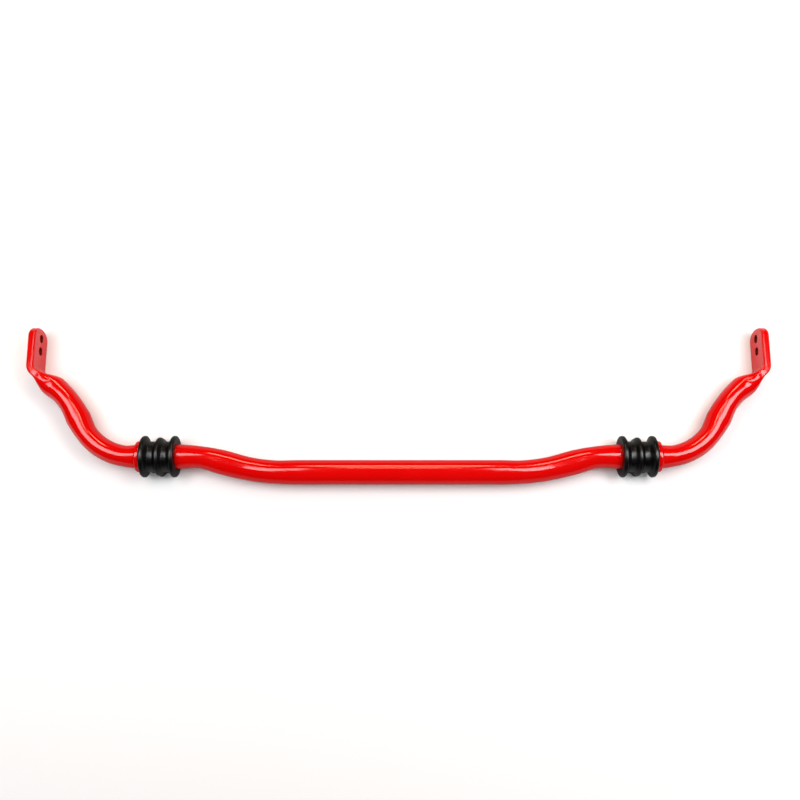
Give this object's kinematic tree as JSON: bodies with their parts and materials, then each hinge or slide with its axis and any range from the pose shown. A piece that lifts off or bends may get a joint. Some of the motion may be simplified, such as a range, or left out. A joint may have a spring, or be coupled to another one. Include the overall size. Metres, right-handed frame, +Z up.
{
  "type": "sway bar",
  "caption": "Cranked tubular anti-roll bar with rearward arms, pressed vertical link blades with bolt holes, split chassis bushings and stop rings.",
  "frame": {"origin": "middle of the bounding box in X and Y, on the plane that the flat bases of the bushings and the lower edges of the blades rest on", "axes": "+X along the bar from the left blade to the right blade, +Y from the cranked middle towards the blade tips, +Z up from the resting plane"},
  "size_m": [1.069, 0.229, 0.0537],
  "materials": {
    "red_powder_coat": "glossy powder coat with a fine orange peel",
    "black_polyurethane": "satin moulded polyurethane"
  },
  "bodies": {
    "bar": {"bar": "red_powder_coat", "stop_ring_left": "red_powder_coat", "stop_ring_right": "red_powder_coat"},
    "bushing_left": {"bushing_left": "black_polyurethane"},
    "bushing_right": {"bushing_right": "black_polyurethane"}
  },
  "joints": [
    {"name": "bushing_left_turn", "type": "hinge", "parent": "bar", "child": "bushing_left", "pos_m": [-0.34115, -0.07455, 0.024], "axis": [1, 0, 0], "continuous": true},
    {"name": "bushing_right_turn", "type": "hinge", "parent": "bar", "child": "bushing_right", "pos_m": [0.34115, -0.07455, 0.024], "axis": [1, 0, 0], "continuous": true}
  ]
}
